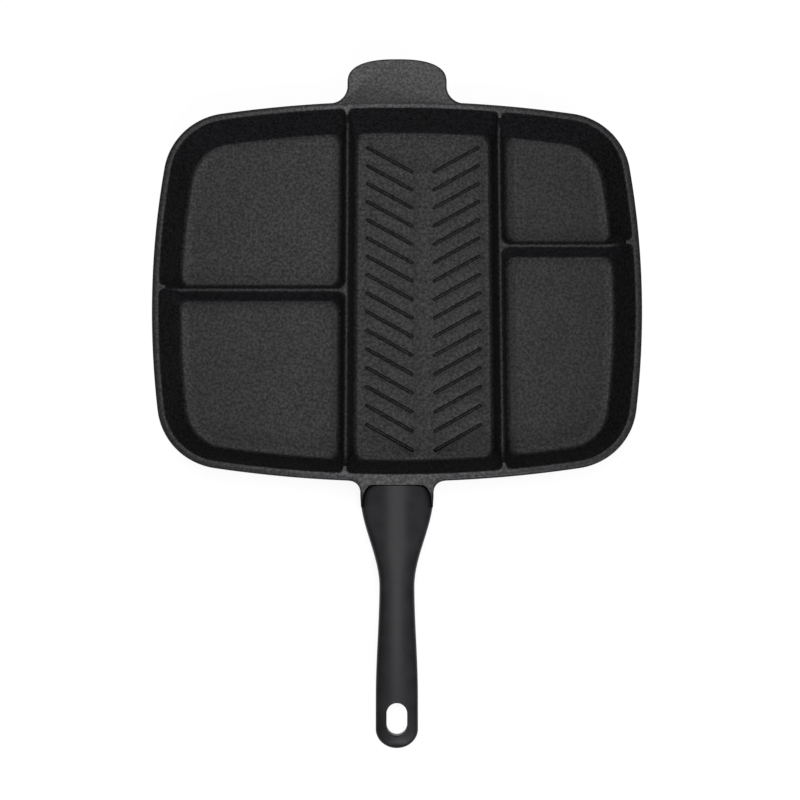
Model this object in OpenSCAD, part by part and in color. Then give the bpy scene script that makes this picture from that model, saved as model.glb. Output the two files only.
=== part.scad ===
// Divided frying pan: one aluminium casting with five pockets, a grip and its two screws.
// Origin: centre of the flat base. +Y points to the helper tab, -Y to the handle, +X to the right, +Z up.

/* [Body] */
// Width over the rim, across the line of the handle
body_w = 380.6; // [350:0.2:410]
// Length over the rim, along the line of the handle
body_l = 299.8; // [280:0.2:320]
// Height of the rim above the base
body_h = 38; // [34:0.5:44]
// Bulge radius of the front and rear sides in plan
end_bulge_r = 960; // [800:10:1600]
// Bulge radius of the left and right sides in plan
side_bulge_r = 673; // [560:10:1200]
// Radius of the four corners in plan
corner_r = 52; // [46:1:58]
// Thickness of the floor
floor_t = 4; // [3:0.25:5.5]
// Thickness of the side wall, measured in plan
wall_t = 4; // [3:0.25:5]
// Width of the rim's top face
rim_w = 5.5; // [5.25:0.25:7]
// Depth of the thicker band under the rim
rim_band = 6; // [4:0.5:9]
// Radius on the rim's inner edge and on the dividers' ends
rim_edge_r = 0.8; // [0.5:0.1:1.1]
// Width of the rounded shoulder along the rim's outer edge
rim_crown_w = 3.4; // [1.5:0.1:4]
// Drop of that shoulder
rim_crown_h = 1.8; // [1:0.1:3]
// How far the inner wall leans in between rim and floor
wall_lean = 11.3; // [8:0.1:14]
// Radius between wall and floor inside a pocket
floor_fillet = 4; // [3:0.5:8]
// Radius between wall and base outside
base_r = 9; // [6:0.5:12]

/* [Dividers] */
// Height of the dividers above the floor
divider_h = 20.5; // [15:0.5:24]
// Thickness of the dividers at their crest
divider_t = 3; // [2.6:0.1:4]
// How far each divider face leans out between crest and floor
divider_lean = 4; // [3:0.25:6]
// Place of the left long divider, from the middle
left_divider_x = -39.6; // [-60:0.2:-30]
// Place of the right long divider, from the middle
right_divider_x = 81.4; // [72:0.2:96]
// Place of the short divider on the left, from the middle
left_cross_y = 0; // [-20:0.5:20]
// Place of the short divider on the right, from the middle
right_cross_y = 35.6; // [10:0.2:50]
// Corner radius of the pockets beside a divider, at the rim
pocket_corner_r = 4; // [3:0.25:6]
// Growth of that corner radius from rim to floor
pocket_corner_growth = 5; // [3:0.5:6]
// Length of the level shelf where a divider runs up to the rim
shelf_l = 5; // [4:0.5:8]

/* [Grill ribs] */
// Number of rib pairs in the long middle pocket
rib_rows = 16; // [12:1:16]
// Distance from one pair to the next
rib_pitch = 15; // [12:0.5:15.5]
// Width of a rib at its foot
rib_w = 3; // [2:0.1:3.4]
// Height of a rib
rib_h = 1.5; // [1:0.1:2]
// Angle of a rib from the line across the pan
rib_angle = 29.4; // [20:0.2:34]
// Gap between the inner ends of a pair
rib_gap = 15.6; // [10:0.2:24]
// Clear floor between a rib's outer end and the divider's foot
rib_side_gap = 9; // [6:0.5:14]
// How far the rib field's middle lies towards the handle
rib_shift = 1.8; // [0:0.2:6]

/* [Helper tab] */
// Width of the tab
tab_w = 79; // [60:1:100]
// How far the tab stands out from the rim
tab_l = 35; // [28:1:45]
// Thickness of the tab
tab_t = 5; // [4:0.25:6]
// Step from the rim down to the tab
tab_step = 0.3; // [0.2:0.1:1.5]
// Radius of the flare between tab and rim
tab_flare_r = 14; // [10:0.5:16]
// Radius on the tab's edges
tab_edge_r = 1.6; // [1:0.1:1.9]

/* [Handle bracket] */
// Width of the cast bracket
bracket_w = 55.6; // [54.5:0.1:60]
// Height of the bracket, from its underside to the rim
bracket_h = 23; // [22:0.5:26]
// Radius of the flare between bracket and rim
bracket_flare_r = 9; // [6:0.5:12]
// Depth of the flares below the rim
bracket_flare_h = 11; // [8:0.5:13]
// Length of the side wings that hug the grip
wing_l = 17; // [14:0.5:20]
// Width of the tang inside the grip
tang_w = 20; // [16:0.5:22]
// Thickness of the tang
tang_t = 6; // [5:0.25:7]
// Length of the tang beyond the grip's front face
tang_l = 58; // [52:1:64]

/* [Grip] */
// Length of the grip
grip_l = 191.5; // [170:0.5:210]
// Width of the grip's front face
grip_front_w = 37; // [34:0.5:42]
// Width of the grip at its shoulders
grip_shoulder_w = 52.4; // [51:0.2:53]
// Length of the rounded nose, from the front face to the full width
grip_nose_l = 14; // [10:0.5:14]
// Width of the grip at its waist
grip_waist_w = 26.4; // [25:0.2:30]
// Width of the grip near its end
grip_end_w = 31.2; // [29:0.2:36]
// Height of the grip at its front
grip_front_h = 19; // [18:0.5:20]
// Height of the grip at its end
grip_end_h = 13; // [11:0.5:15]
// How far the grip's middle line rises towards its end
grip_rise = 11; // [4:0.5:18]
// Gap between rim outline and grip
grip_gap = 2.8; // [2:0.1:4]
// Step from the rim down to the grip's crown
grip_step = 0.5; // [0.2:0.1:1.5]
// Width of the hanging slot
slot_w = 15.2; // [12:0.2:17]
// Length of the hanging slot
slot_l = 23; // [18:0.5:26]
// Distance from the slot's outer end to the grip's end
slot_end = 9.3; // [8:0.1:12]
// Clearance between grip and casting
fit_gap = 0.2; // [0.15:0.05:0.35]

/* [Screws] */
// Shank diameter of the grip's screws
screw_d = 5; // [4:0.25:5.5]
// Head diameter of the grip's screws
screw_head_d = 9; // [8.5:0.25:10]
// Head height of the grip's screws
screw_head_h = 2.4; // [2:0.1:2.8]
// Distance of the first screw from the grip's front face
screw_first = 20; // [17:0.5:24]
// Distance between the two screws
screw_pitch = 24; // [20:0.5:28]
// Thickness of the grip's wall between screw head and tang
seat_t = 2.6; // [2:0.1:3]
// Clearance around the screws, on the diameter
screw_gap = 0.3; // [0.2:0.05:0.5]
// Clearance of a screw in the tang, on the diameter
screw_fit = 0.1; // [0.05:0.05:0.2]

/* [Hidden] */
cast_color = "#3a3a3c";
grip_color = "#242426";
steel_color = "#a9adb2";
eps = 0.01;
over = 1;
straight_r = 500000;
corner_n = 11;
small_corner_n = 4;
bulge_n = 7;
half_w = body_w / 2;
half_l = body_l / 2;
crest_z = floor_t + divider_h;
wall_slope = wall_lean / (body_h - floor_t);
wall_angle = atan(wall_slope);
divider_slope = divider_lean / divider_h;
divider_angle = atan(divider_slope);
fillet_z = floor_t + floor_fillet;
grip_z = body_h - grip_step - grip_front_h / 2;
grip_y = -half_l - grip_gap;
tang_low = grip_z;
tang_top = tang_low + tang_t;
seat_z = tang_low - fit_gap - seat_t;
bracket_reach = rim_w + wall_slope * bracket_h;
wing_taper = 0.5;
shoulder_step = 0.8;
end_round = 13.5;
// Forms of rounded sections: 1 is an ellipse, less is fuller, more is narrower at the crown
fullness = 0.8;
nose_form = 0.25;
crown_form = 1.2;
slot_form = 0.7;
belly_form = 0.85;
side_form = 0.95;
nose_r = 0.7;
flare_sink = 0.1;
rib_root = 0.4;
band_blend = 2;

// Plan outlines. A side is [centre x, centre y, radius]; sides run counter-clockwise from the right one.
function unit(v) = v / norm(v);
function arc_angle(a, b) = a + ((b - a) % 360 + 360) % 360;
function dir_angle(v) = atan2(v[1], v[0]);
function on_circle(c, r, t) = c + r * [cos(t), sin(t)];
function side_centre(s) = [s[0], s[1]];

// Centre of the corner circle of radius r that touches two sides from inside
function corner_centre(s1, s2, r) =
    let (c1 = side_centre(s1), c2 = side_centre(s2), r1 = s1[2] - r, r2 = s2[2] - r)
    let (d = norm(c2 - c1), a = (r1 * r1 - r2 * r2 + d * d) / (2 * d), h = sqrt(r1 * r1 - a * a))
    let (u = (c2 - c1) / d)
    c1 + a * u + h * [-u[1], u[0]];

// Closed outline through the sides, each corner k (between side k and side k + 1) rounded by radii[k]
function outline(sides, radii, arcs, bulges) =
    let (cc = [for (k = [0:3]) corner_centre(sides[k], sides[(k + 1) % 4], radii[k])])
    [for (k = [0:3])
        let (here = side_centre(sides[k]), next = side_centre(sides[(k + 1) % 4]))
        let (a1 = dir_angle(cc[k] - here), a2 = arc_angle(a1, dir_angle(cc[k] - next)))
        let (b2 = arc_angle(dir_angle(cc[k] - next), dir_angle(cc[(k + 1) % 4] - next)))
        let (b1 = dir_angle(cc[k] - next), m = bulges[(k + 1) % 4])
        each concat(
            [for (i = [0:arcs[k]]) on_circle(cc[k], radii[k], a1 + (a2 - a1) * i / arcs[k])],
            [for (i = [1:1:m - 1]) on_circle(next, sides[(k + 1) % 4][2], b1 + (b2 - b1) * i / m)])];

// The four bulged sides of the body, moved in by inset
function body_sides(inset) = [
    [half_w - side_bulge_r, 0, side_bulge_r - inset],
    [0, half_l - end_bulge_r, end_bulge_r - inset],
    [side_bulge_r - half_w, 0, side_bulge_r - inset],
    [0, end_bulge_r - half_l, end_bulge_r - inset]];

function body_outline(inset) =
    outline(body_sides(inset), [for (k = [0:3]) corner_r - inset], [for (k = [0:3]) corner_n],
        [for (k = [0:3]) bulge_n]);

// Where the rim's outline, moved in by inset, crosses a line
function rim_y(x, inset) = half_l - end_bulge_r + sqrt(pow(end_bulge_r - inset, 2) - x * x);
function rim_x(y, inset) = half_w - side_bulge_r + sqrt(pow(side_bulge_r - inset, 2) - y * y);

// Inset of a leaning face at height z, with the fillet that rounds it into the floor
function leaning(top_inset, slope, top_z, z) = top_inset + slope * max(0, top_z - z);
function filleted(top_inset, slope, top_z, z) =
    let (t = atan(slope), centre = leaning(top_inset, slope, top_z, fillet_z) + floor_fillet / cos(t))
    z > fillet_z - floor_fillet * sin(t)
        ? leaning(top_inset, slope, top_z, z)
        : centre - sqrt(max(0, floor_fillet * floor_fillet - pow(fillet_z - z, 2)));

// Rounding of the rim's edge at height z
function edge(z) = let (up = min(rim_edge_r, max(0, z - body_h + rim_edge_r)))
    rim_edge_r - sqrt(rim_edge_r * rim_edge_r - up * up);
function wall_inset(z) = filleted(rim_w, wall_slope, body_h, z) - edge(z);
function divider_inset(z) = filleted(divider_t / 2, divider_slope, crest_z, z) - edge(z);
function sunk(z) = filleted(0, wall_slope, body_h, z) - leaning(0, wall_slope, body_h, z);
function small_r(z) =
    pocket_corner_r + edge(z) + pocket_corner_growth * min(1, (body_h - min(z, body_h)) / (body_h - floor_t))
    - 0.5 * sunk(z);

pocket_levels = concat(
    [body_h + over, body_h],
    [for (t = [60, 30, 0]) body_h - rim_edge_r * (1 - sin(t))],
    [crest_z],
    [for (t = [min(wall_angle, divider_angle), max(wall_angle, divider_angle), 38, 60, 90])
        fillet_z - floor_fillet * sin(t)]);

// One side of a pocket at height z: 0 to 3 is a wall of the body, otherwise a divider
function pocket_side(k, place, z) =
    is_undef(place) ? body_sides(wall_inset(z))[k]
    : k == 0 ? [place - straight_r, 0, straight_r - divider_inset(z)]
    : k == 1 ? [0, place - straight_r, straight_r - divider_inset(z)]
    : k == 2 ? [place + straight_r, 0, straight_r - divider_inset(z)]
    : [0, place + straight_r, straight_r - divider_inset(z)];

function pocket_ring(places, z) =
    let (walled = [for (k = [0:3]) is_undef(places[k])])
    let (body_corner = [for (k = [0:3]) walled[k] && walled[(k + 1) % 4]])
    outline([for (k = [0:3]) pocket_side(k, places[k], z)],
        [for (k = [0:3]) body_corner[k] ? corner_r - wall_inset(z) : small_r(z)],
        [for (k = [0:3]) body_corner[k] ? corner_n : small_corner_n],
        [for (k = [0:3]) walled[k] ? bulge_n : 1]);

function raise(ring, z) = [for (p = ring) [p[0], p[1], z]];

// Solid through a list of closed rings with the same number of points, from low to high
module loft(rings) {
    n = len(rings[0]);
    last = len(rings) - 1;
    points = [for (ring = rings) each ring];
    sides = [for (j = [0:last - 1]) for (i = [0:n - 1])
        let (a = j * n + i, b = j * n + (i + 1) % n)
        each [[a, a + n, b], [b, a + n, b + n]]];
    low = [for (i = [1:n - 2]) [0, i, i + 1]];
    high = [for (i = [1:n - 2]) [last * n, last * n + i + 1, last * n + i]];
    polyhedron(points, concat(sides, low, high), convexity = 6);
}

// Pockets, each given by its right, rear, left and front divider; undef stands for the body's wall
pockets = [
    [left_divider_x, undef, undef, left_cross_y],
    [left_divider_x, left_cross_y, undef, undef],
    [right_divider_x, undef, left_divider_x, undef],
    [undef, undef, right_divider_x, right_cross_y],
    [undef, right_cross_y, right_divider_x, undef]];

module pocket(places) {
    count = len(pocket_levels) - 1;
    loft([for (i = [count:-1:0]) raise(pocket_ring(places, pocket_levels[i]), pocket_levels[i])]);
}

// Crowned outer edge of the rim, as [inset, height] from its side up to the level top
function crown(top_z) = [for (t = [0, 30, 60, 90]) [rim_crown_w * (1 - cos(t)), top_z - rim_crown_h * (1 - sin(t))]];

// Outer skin: flat base, round base corner, leaning wall, rim band and crowned rim
function skin_profile() =
    let (top = rim_w - wall_t, c = leaning(top, wall_slope, body_h, base_r) + base_r / cos(wall_angle))
    let (band_z = body_h - rim_band, under = leaning(top, wall_slope, body_h, band_z - band_blend))
    concat(
        [for (t = [90, 64, 40, wall_angle]) [c - base_r * cos(t), base_r - base_r * sin(t)]],
        [[under, band_z - band_blend], [under * 0.3, band_z - 0.4 * band_blend], [0, band_z]],
        crown(body_h));

module skin() {
    loft([for (p = skin_profile()) raise(body_outline(p[0]), p[1])]);
}

// Space above a divider's crest: level along the crest, with a round run-up to the rim at each walled end
module crest_cut(from, to, walled_from, walled_to) {
    drop = body_h - crest_z;
    a = walled_from ? from + shelf_l : from;
    b = walled_to ? to - shelf_l : to;
    fa = walled_from ? drop : 0;
    fb = walled_to ? drop : 0;
    cut_w = 2 * (divider_t + pocket_corner_r);
    translate([0, cut_w / 2, 0]) rotate([90, 0, 0]) linear_extrude(cut_w) {
        translate([a, body_h]) square([b - a, over]);
        translate([a + fa, crest_z]) square([b - a - fa - fb, drop + eps]);
        if (walled_from) intersection() {
            translate([a + drop, body_h]) circle(drop, $fn = 64);
            translate([a, crest_z]) square([drop + eps, drop + eps]);
        }
        if (walled_to) intersection() {
            translate([b - drop, body_h]) circle(drop, $fn = 64);
            translate([b - drop - eps, crest_z]) square([drop + eps, drop + eps]);
        }
    }
}

module long_crest(x) {
    reach = rim_y(x, rim_w);
    translate([x, 0, 0]) rotate([0, 0, 90]) crest_cut(-reach, reach, true, true);
}

module cross_crest(y, from, to, walled_from, walled_to) {
    translate([0, y, 0]) crest_cut(from, to, walled_from, walled_to);
}

module crests() {
    long_crest(left_divider_x);
    long_crest(right_divider_x);
    cross_crest(left_cross_y, -rim_x(left_cross_y, rim_w), left_divider_x, true, false);
    cross_crest(right_cross_y, right_divider_x, rim_x(right_cross_y, rim_w), false, true);
}

// One grill rib along X, its foot just under the floor
rib_profile = [[-rib_root, 0], [0.15 * rib_h, 0.05], [0.8 * rib_h, 0.5], [rib_h, 0.8]];
function rib_ring(length, half, z) = concat(
    [for (t = [-90:45:90]) [length / 2 + half * cos(t), half * sin(t), z]],
    [for (t = [90:45:270]) [-length / 2 + half * cos(t), half * sin(t), z]]);

module rib(length) {
    loft([for (p = rib_profile) rib_ring(length, rib_w / 2 * (1 - p[1]), floor_t + p[0])]);
}

module grill_ribs() {
    grill_x = (left_divider_x + right_divider_x) / 2;
    span = right_divider_x - left_divider_x - divider_t - 2 * divider_lean - rib_gap - 2 * rib_side_gap;
    length = span / 2 / cos(rib_angle) - rib_w;
    arm_x = rib_gap / 2 + span / 4;
    for (row = [0:rib_rows - 1], side = [-1, 1])
        translate([grill_x + side * arm_x, (row - (rib_rows - 1) / 2) * rib_pitch - rib_shift, 0])
            rotate([0, 0, side * rib_angle]) rib(length);
}

// Point on a rounded form that is fuller than an ellipse, at the angle t
function full_round(w, h, t) = [w * sign(cos(t)) * pow(abs(cos(t)), fullness),
    h * sign(sin(t)) * pow(abs(sin(t)), fullness)];

// The tab's plate in plan, moved in by inset: straight from inside the rim, round at its end
module tab_plate(inset) {
    round_l = 0.55 * tab_l;
    end = [for (t = [0:10:180]) [0, half_l + tab_l - round_l] + full_round(tab_w / 2 - inset, round_l - inset, t)];
    polygon(concat(end, [for (side = [-1, 1]) [side * (tab_w / 2 - inset), half_l - rim_w]]));
}

// Web that rounds a straight side at half width x into the rim, crowned like the rim it runs out on
module flare(x, r, trim, low_z, high_z) {
    end_y = rim_y(x + r, flare_sink);
    inside = [x - rim_crown_w - over, end_y - (rim_crown_w + rim_w) / 2];
    loft([for (p = concat([[trim, low_z], [0, low_z + trim]], crown(high_z)))
        raise(concat([inside, [x + r, inside[1]]],
            [for (t = [270:-9:180]) [x + r, end_y + r] + (r + p[0]) * [cos(t), sin(t)]],
            [[inside[0], end_y + r]]), p[1])]);
}

module tab() {
    low_z = body_h - tab_step - tab_t;
    translate([0, 0, low_z]) hull() {
        translate([0, 0, tab_edge_r]) linear_extrude(tab_t - 2 * tab_edge_r) tab_plate(0);
        linear_extrude(tab_t) tab_plate(tab_edge_r);
    }
    for (side = [0, 1]) mirror([side, 0, 0]) flare(tab_w / 2, tab_flare_r, tab_edge_r, low_z, low_z + tab_t);
}

// The cast bracket in plan: block behind the grip and wings beside it
module bracket_plan() {
    wing_y = grip_y - wing_l;
    right = [[bracket_w / 2, -half_l + bracket_reach], [bracket_w / 2, wing_y + wing_l / 2],
        [bracket_w / 2 - wing_taper, wing_y]];
    polygon(concat(right, [for (i = [2:-1:0]) [-right[i][0], right[i][1]]]));
}

// The bracket from the side: level on top, its underside rounded up to the wing tips
module bracket_side() {
    low_z = body_h - bracket_h;
    tip_z = grip_z - grip_front_h / 4;
    polygon(concat(
        [[-half_l + bracket_reach, low_z], [-half_l + bracket_reach, body_h], [grip_y - wing_l, body_h]],
        [for (t = [0:10:90]) [grip_y - wing_l * cos(t), tip_z - (tip_z - low_z) * sin(t)]]));
}

module bracket() {
    low_z = body_h - bracket_h;
    difference() {
        union() {
            intersection() {
                translate([0, 0, low_z]) linear_extrude(bracket_h) bracket_plan();
                translate([-bracket_w, 0, 0]) rotate([90, 0, 90]) linear_extrude(2 * bracket_w) bracket_side();
            }
            for (side = [0, 1]) mirror([side, 0, 0]) mirror([0, 1, 0])
                flare(bracket_w / 2, bracket_flare_r, rim_edge_r, body_h - bracket_flare_h, body_h);
        }
        grip_form(fit_gap);
        translate([0, 0, grip_z]) linear_extrude(bracket_h) grip_plan(fit_gap);
    }
}

module tang() {
    tip = grip_y - tang_l;
    translate([0, 0, tang_low]) linear_extrude(tang_t)
        polygon([[-tang_w / 2, -half_l + 2], [-tang_w / 2, grip_y], [-tang_w / 2 + 2, tip], [tang_w / 2 - 2, tip],
            [tang_w / 2, grip_y], [tang_w / 2, -half_l + 2]]);
}

module screw_places() {
    for (i = [0, 1]) translate([0, grip_y - screw_first - i * screw_pitch, 0]) children();
}

module pan_body() {
    color(cast_color) {
        difference() {
            union() {
                skin();
                tab();
                bracket();
                tang();
            }
            for (places = pockets) pocket(places);
            crests();
            screw_places() translate([0, 0, tang_low - over])
                cylinder(h = tang_t + 2 * over, d = screw_d + screw_fit, $fn = 32);
        }
        grill_ribs();
    }
}

// Smooth step from 0 to 1
function ease(t) = let (u = max(0, min(1, t))) u * u * (3 - 2 * u);
// Half width of the grip at the distance s from its front face: nose in the bracket, shoulders, waist, end
waist_from = 0.04 * grip_l;
waist_at = 0.395 * grip_l;
end_at = 0.8 * grip_l;
// Quarter of a round, steep at its start and level at its end
function quarter(t) = let (u = 1 - max(0, min(1, t))) sqrt(1 - u * u);
function grip_half_w(s) =
    s < wing_l
    ? grip_front_w / 2 + (grip_shoulder_w - grip_front_w) / 2 * quarter(s / grip_nose_l)
    : s < waist_at
    ? let (wide = grip_shoulder_w / 2 + 2 * shoulder_step)
        wide - (wide - grip_waist_w / 2) * ease((s - waist_from) / (waist_at - waist_from))
    : grip_waist_w / 2 + (grip_end_w - grip_waist_w) / 2 * ease((s - waist_at) / (end_at - waist_at));
function end_share(s) = let (u = max(0, (s - grip_l + end_round) / end_round)) sqrt(max(0.004, 1 - u * u));
function grip_half_h(s) = (grip_front_h + (grip_end_h - grip_front_h) * ease(s / grip_l)) / 2;
function grip_mid_z(s) = grip_z + grip_rise * (1 - cos(180 * s / grip_l)) / 2;
// Roundness of the grip's back: level over nose and shoulders, a narrow crown behind them, level round the slot
crown_from = 0.1 * grip_l;
crown_at = 0.32 * grip_l;
level_from = 0.68 * grip_l;
level_at = 0.88 * grip_l;
function back_form(s) = nose_form + (crown_form - nose_form) * ease((s - crown_from) / (crown_at - crown_from))
    + (slot_form - crown_form) * ease((s - level_from) / (level_at - level_from));
function grip_ring(s, out) =
    let (w = (grip_half_w(s) + out) * end_share(s), h = (grip_half_h(s) + out) * pow(end_share(s), 0.6), n = 24)
    [for (i = [0:n - 1])
        let (t = 360 * (i + 0.5) / n, form = t < 180 ? back_form(s) : belly_form)
        [w * sign(cos(t)) * pow(abs(cos(t)), side_form), grip_y - s,
            grip_mid_z(s) + h * sign(sin(t)) * pow(abs(sin(t)), form)]];
grip_nose = concat([0], [for (u = [0.015, 0.06, 0.16, 0.34, 0.6, 0.82]) u * wing_l], [wing_l - eps]);
grip_stations = concat(grip_nose,
    [for (i = [0:14]) wing_l + 0.6 + (grip_l - end_round - wing_l - 0.6) * i / 14],
    [for (t = [25, 50, 70, 90]) grip_l - end_round * (1 - sin(t))]);

// The grip's outer form, made larger by out all round
module grip_form(out) {
    loft([for (s = grip_stations) grip_ring(s, s == 0 ? out - nose_r : out)]);
}

// The grip's nose in plan, made larger by out
module grip_plan(out) {
    half = [for (s = grip_nose) [grip_half_w(s) + out - (s == 0 ? nose_r : 0), grip_y - s]];
    back = [[grip_half_w(wing_l - eps) + out, grip_y - 2 * wing_l]];
    right = concat(half, back);
    polygon(concat(right, [for (i = [len(right) - 1:-1:0]) [-right[i][0], right[i][1]]]));
}

module grip() {
    color(grip_color) difference() {
        grip_form(0);
        translate([-(tang_w / 2 + fit_gap), grip_y - tang_l - fit_gap, tang_low - fit_gap])
            cube([tang_w + 2 * fit_gap, tang_l + fit_gap + over, tang_t + 2 * fit_gap]);
        screw_places() {
            translate([0, 0, seat_z - over])
                cylinder(h = tang_low - seat_z + over, d = screw_d + screw_gap, $fn = 32);
            translate([0, 0, seat_z - grip_front_h])
                cylinder(h = grip_front_h, d = screw_head_d + screw_gap, $fn = 48);
        }
        translate([0, grip_y - grip_l + slot_end + slot_w / 2, 0]) hang_slot();
    }
}

module hang_slot() {
    run = slot_l - slot_w;
    top = body_h + grip_rise + grip_end_h;
    for (y = [0, run]) translate([0, y, 0]) cylinder(h = top, d = slot_w, $fn = 64);
    translate([-slot_w / 2, 0, 0]) cube([slot_w, run, top]);
}

// One screw, head down: plain shank, round head with a cross recess
module screw() {
    recess_w = screw_d / 4;
    translate([0, 0, seat_z - over]) cylinder(h = tang_top - seat_z + over, d = screw_d, $fn = 32);
    difference() {
        translate([0, 0, seat_z - screw_head_h]) cylinder(h = screw_head_h, d = screw_head_d, $fn = 48);
        for (a = [0, 90]) rotate([0, 0, a]) translate([-screw_d / 2, -recess_w / 2, seat_z - screw_head_h - over])
            cube([screw_d, recess_w, over + screw_head_h / 2]);
    }
}

module grip_screws() {
    color(steel_color) screw_places() screw();
}

pan_body();
grip();
grip_screws();
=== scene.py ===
"""Divided frying pan: a cast, coated pan with its moulded grip, dressed and set in a white studio.

Sizes of the pieces are in millimetres until Shape.mesh turns them into metres. Those of the finishes and of
the studio are in metres.
"""
from __future__ import annotations

import logging
import math
from dataclasses import dataclass, field
from enum import Enum
from typing import Sequence

import bmesh
import bpy
import numpy as np
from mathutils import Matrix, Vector
from mathutils.geometry import delaunay_2d_cdt


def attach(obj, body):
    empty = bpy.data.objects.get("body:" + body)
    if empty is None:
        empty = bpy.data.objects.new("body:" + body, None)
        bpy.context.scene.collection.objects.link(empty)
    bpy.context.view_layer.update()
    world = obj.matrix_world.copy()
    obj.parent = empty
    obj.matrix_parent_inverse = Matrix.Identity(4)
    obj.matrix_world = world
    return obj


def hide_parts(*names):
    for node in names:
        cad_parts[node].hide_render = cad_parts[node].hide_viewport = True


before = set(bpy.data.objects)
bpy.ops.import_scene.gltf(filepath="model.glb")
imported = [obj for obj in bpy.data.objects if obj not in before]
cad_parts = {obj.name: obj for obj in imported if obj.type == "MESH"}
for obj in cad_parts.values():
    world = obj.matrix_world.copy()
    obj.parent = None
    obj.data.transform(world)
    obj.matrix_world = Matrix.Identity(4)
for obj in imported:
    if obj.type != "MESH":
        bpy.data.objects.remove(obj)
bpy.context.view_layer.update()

LOG = logging.getLogger("pan")
MM = 0.001
BODY = "root"
WORK_SHARP = 40.0
PIECE_SHARP = 35.0
Array = np.ndarray
Colour = tuple[float, float, float, float]


# Shader building

class Signal:
    """A shader socket that takes part in Python sums: each operator adds one Math node."""

    def __init__(self, sheet: "Sheet", socket: bpy.types.NodeSocket) -> None:
        """Args: sheet: the material's node sheet; socket: the output that carries the value."""
        self.sheet = sheet
        self.socket = socket

    def _math(self, operation: str, first: object, second: object) -> "Signal":
        """Adds a Math node of this operation on two values or signals."""
        return self.sheet.add("ShaderNodeMath", {"operation": operation}, {0: first, 1: second})

    def __add__(self, other: object) -> "Signal":
        """This plus other."""
        return self._math("ADD", self, other)

    def __radd__(self, other: object) -> "Signal":
        """Other plus this."""
        return self._math("ADD", other, self)

    def __sub__(self, other: object) -> "Signal":
        """This minus other."""
        return self._math("SUBTRACT", self, other)

    def __rsub__(self, other: object) -> "Signal":
        """Other minus this."""
        return self._math("SUBTRACT", other, self)

    def __mul__(self, other: object) -> "Signal":
        """This times other."""
        return self._math("MULTIPLY", self, other)

    def __rmul__(self, other: object) -> "Signal":
        """Other times this."""
        return self._math("MULTIPLY", other, self)

    def ramp(self, low: float, high: float) -> "Signal":
        """Smooth step of the value from 0 at low to 1 at high."""
        return self.sheet.add("ShaderNodeMapRange", {"interpolation_type": "SMOOTHSTEP"},
                              {"Value": self, "From Min": low, "From Max": high})


class Sheet:
    """The node sheet of one material."""

    def __init__(self, name: str) -> None:
        """Args: name: the material's name."""
        self.material = bpy.data.materials.new(name)
        self.material.use_nodes = True
        self.tree = self.material.node_tree
        self.tree.nodes.clear()

    def add(self, kind: str, settings: dict | None = None, values: dict | None = None,
            out: int | str = 0) -> Signal:
        """Adds a node.

        Args:
            kind: the node's type.
            settings: its own settings, set before its sockets.
            values: value, colour, vector or signal for each input socket.
            out: which output to return.

        Returns:
            The chosen output as a signal.
        """
        node = self.tree.nodes.new(kind)
        for key, value in (settings or {}).items():
            setattr(node, key, value)
        for key, value in (values or {}).items():
            if isinstance(value, Signal):
                self.tree.links.new(value.socket, node.inputs[key])
            else:
                node.inputs[key].default_value = value
        return Signal(self, node.outputs[out] if len(node.outputs) else None)

    def place(self) -> Signal:
        """Object coordinates, in metres."""
        return self.add("ShaderNodeTexCoord", out="Object")

    def axis(self, at: Signal, name: str) -> Signal:
        """One coordinate of a place, by its name X, Y or Z."""
        return self.add("ShaderNodeSeparateXYZ", values={"Vector": at}, out=name)

    def noise(self, at: Signal, grain: float, detail: float = 2.0, rough: float = 0.5) -> Signal:
        """Noise about grain metres across."""
        return self.add("ShaderNodeTexNoise", {"noise_dimensions": "3D"},
                        {"Vector": at, "Scale": 1 / grain, "Detail": detail, "Roughness": rough})

    def blend(self, share: Signal, first: object, second: object) -> Signal:
        """Mixes two colours by share."""
        return self.add("ShaderNodeMix", {"data_type": "RGBA"}, {0: share, 6: first, 7: second}, out=2)

    def bump(self, height: Signal, strength: float, distance: float) -> Signal:
        """Normal of a surface raised by height times distance metres."""
        return self.add("ShaderNodeBump",
                        values={"Strength": strength, "Distance": distance, "Height": height})

    def finish(self, shader: Signal) -> bpy.types.Material:
        """Puts the shader on the surface and returns the material."""
        self.add("ShaderNodeOutputMaterial", values={"Surface": shader})
        return self.material

    def skin(self, colour: Signal, rough: Signal, normal: Signal, others: dict) -> bpy.types.Material:
        """Puts a Principled surface on the material.

        Args:
            colour: base colour.
            rough: roughness.
            normal: bumped normal.
            others: values of its other sockets.

        Returns:
            The material.
        """
        values = {"Base Color": colour, "Roughness": rough, "Normal": normal} | others
        return self.finish(self.add("ShaderNodeBsdfPrincipled", values=values))


def grey(level: float) -> Colour:
    """A neutral colour."""
    return level, level, level, 1.0


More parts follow.
